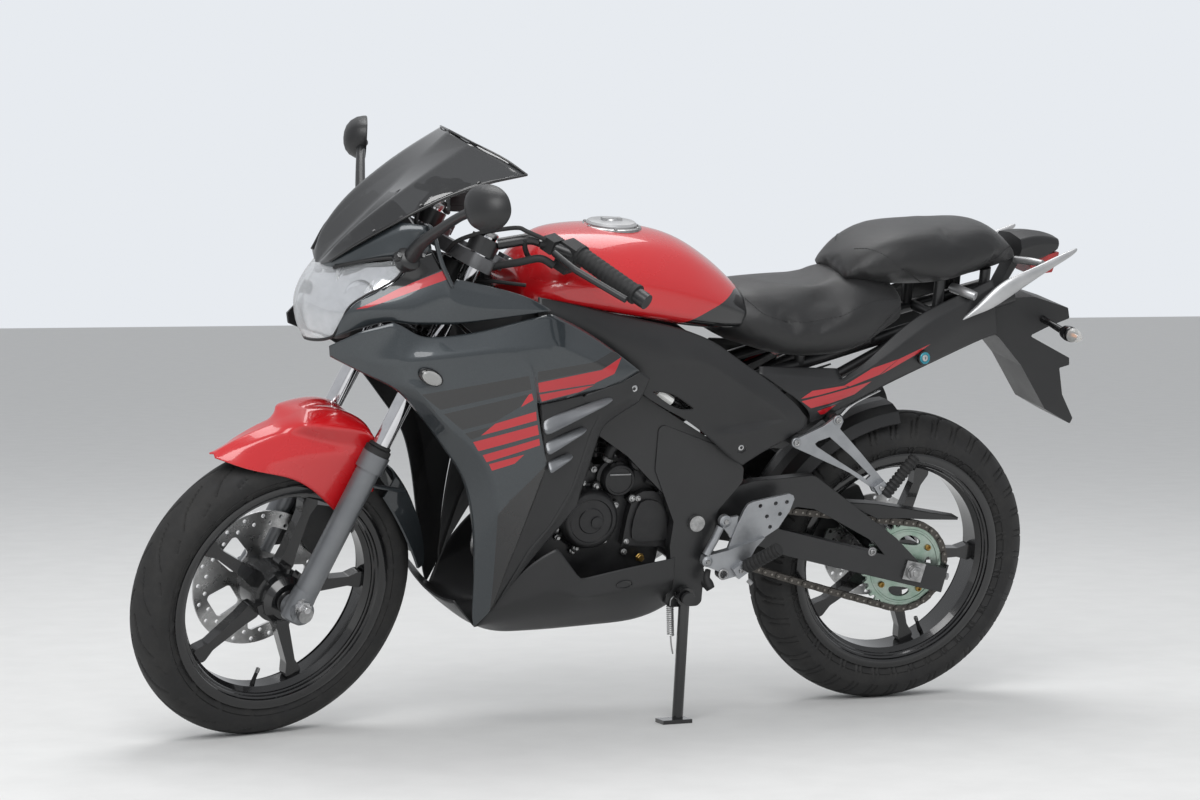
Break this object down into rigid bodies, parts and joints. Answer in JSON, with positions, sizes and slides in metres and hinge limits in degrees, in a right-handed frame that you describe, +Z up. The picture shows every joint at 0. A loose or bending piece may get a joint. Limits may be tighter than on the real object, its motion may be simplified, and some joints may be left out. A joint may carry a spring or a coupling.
{
  "type": "sport motorcycle",
  "caption": "Faired sport motorcycle leaning on its side stand, with turning wheels, steering that swings on its raked head and a folding stand.",
  "frame": {"origin": "centre of the bounding box on the road, with the machine leaning on its side stand", "axes": "+X to the rear of the machine, +Y to the rider's right, +Z up"},
  "size_m": [1.9781, 0.8562, 1.1963],
  "materials": {
    "tyre": "matt black rubber",
    "rubber": "matt black rubber",
    "black_metal": "satin black paint",
    "cast_black": "black painted casting",
    "disc_steel": "ground steel",
    "steel": "plated steel",
    "zinc": "zinc plated, pale green",
    "fork_metal": "silver grey paint",
    "bare_aluminium": "satin silver",
    "chrome": "polished",
    "red_paint": "gloss red paint",
    "red_spring": "gloss red paint",
    "grey_paint": "slate grey metallic paint",
    "black_plastic": "satin black",
    "clear_lens": "clear",
    "red_lens": "clear red",
    "smoke_screen": "dark smoked, gloss",
    "seat_vinyl": "black grained vinyl"
  },
  "bodies": {
    "front_wheel_assembly": {"front_tyre": "tyre", "front_wheel": "black_metal", "front_brake_disc": "disc_steel"},
    "rear_wheel_assembly": {"rear_tyre": "tyre", "rear_wheel": "black_metal", "rear_brake_disc": "disc_steel", "rear_sprocket": "zinc"},
    "fork_and_bars": {"fork_sliders": "fork_metal", "fork_stanchions": "chrome", "lower_fork_clamp": "black_metal", "upper_fork_clamp": "fork_metal", "front_axle": "steel", "handlebars": "black_metal", "handlebar_grips": "rubber", "switch_housings": "black_plastic", "control_levers": "bare_aluminium", "front_brake_caliper": "cast_black", "front_mudguard": "red_paint", "front_mudguard_rear": "grey_paint"},
    "machine": {"main_frame": "black_metal", "swingarm_pivot": "steel", "cylinder": "cast_black", "cylinder_head": "cast_black", "left_engine_covers": "cast_black", "clutch_cover": "cast_black", "exhaust_pipe": "steel", "silencer": "black_metal", "rear_axle": "steel", "crankcase": "cast_black", "swingarm": "black_metal", "drive_chain": "steel", "rear_brake_caliper": "cast_black", "shock_absorber": "red_spring", "main_fairing": "grey_paint", "gill_panels": "black_plastic", "belly_pan": "black_plastic", "upper_fairing": "grey_paint", "windscreen": "smoke_screen", "headlight": "clear_lens", "instruments": "black_plastic", "fairing_stay": "black_metal", "mirrors": "black_plastic", "fuel_tank": "red_paint", "filler_cap": "bare_aluminium", "rider_seat": "seat_vinyl", "pillion_seat": "seat_vinyl", "subframe": "black_metal", "tail_fairing": "black_plastic", "side_covers": "black_plastic", "grab_rails": "bare_aluminium", "tail_cowl": "black_plastic", "tail_lamp": "red_lens", "plate_hanger": "black_plastic", "rear_indicators": "black_plastic", "rear_inner_mudguard": "black_plastic", "footrest_brackets": "bare_aluminium", "footrests": "rubber"},
    "side_stand_leg": {"side_stand": "black_metal"}
  },
  "joints": [
    {"name": "steering", "type": "hinge", "parent": "machine", "child": "fork_and_bars", "pos_m": [-0.43389, 0.06372, 0.76991], "axis": [0.4195, -0.1833, 0.889], "range_deg": [-45.4, 14.6]},
    {"name": "front_wheel_spin", "type": "hinge", "parent": "fork_and_bars", "child": "front_wheel_assembly", "pos_m": [-0.70033, 0.15407, 0.28437], "axis": [-0.2411, 0.9217, 0.3038], "continuous": true},
    {"name": "rear_wheel_spin", "type": "hinge", "parent": "machine", "child": "rear_wheel_assembly", "pos_m": [0.61845, 0.16019, 0.30201], "axis": [0, 0.9794, 0.2019], "continuous": true},
    {"name": "side_stand_swing", "type": "hinge", "parent": "machine", "child": "side_stand_leg", "pos_m": [0.09651, 0.03079, 0.25616], "axis": [0, -0.9794, -0.2019], "range_deg": [0, 85]}
  ]
}
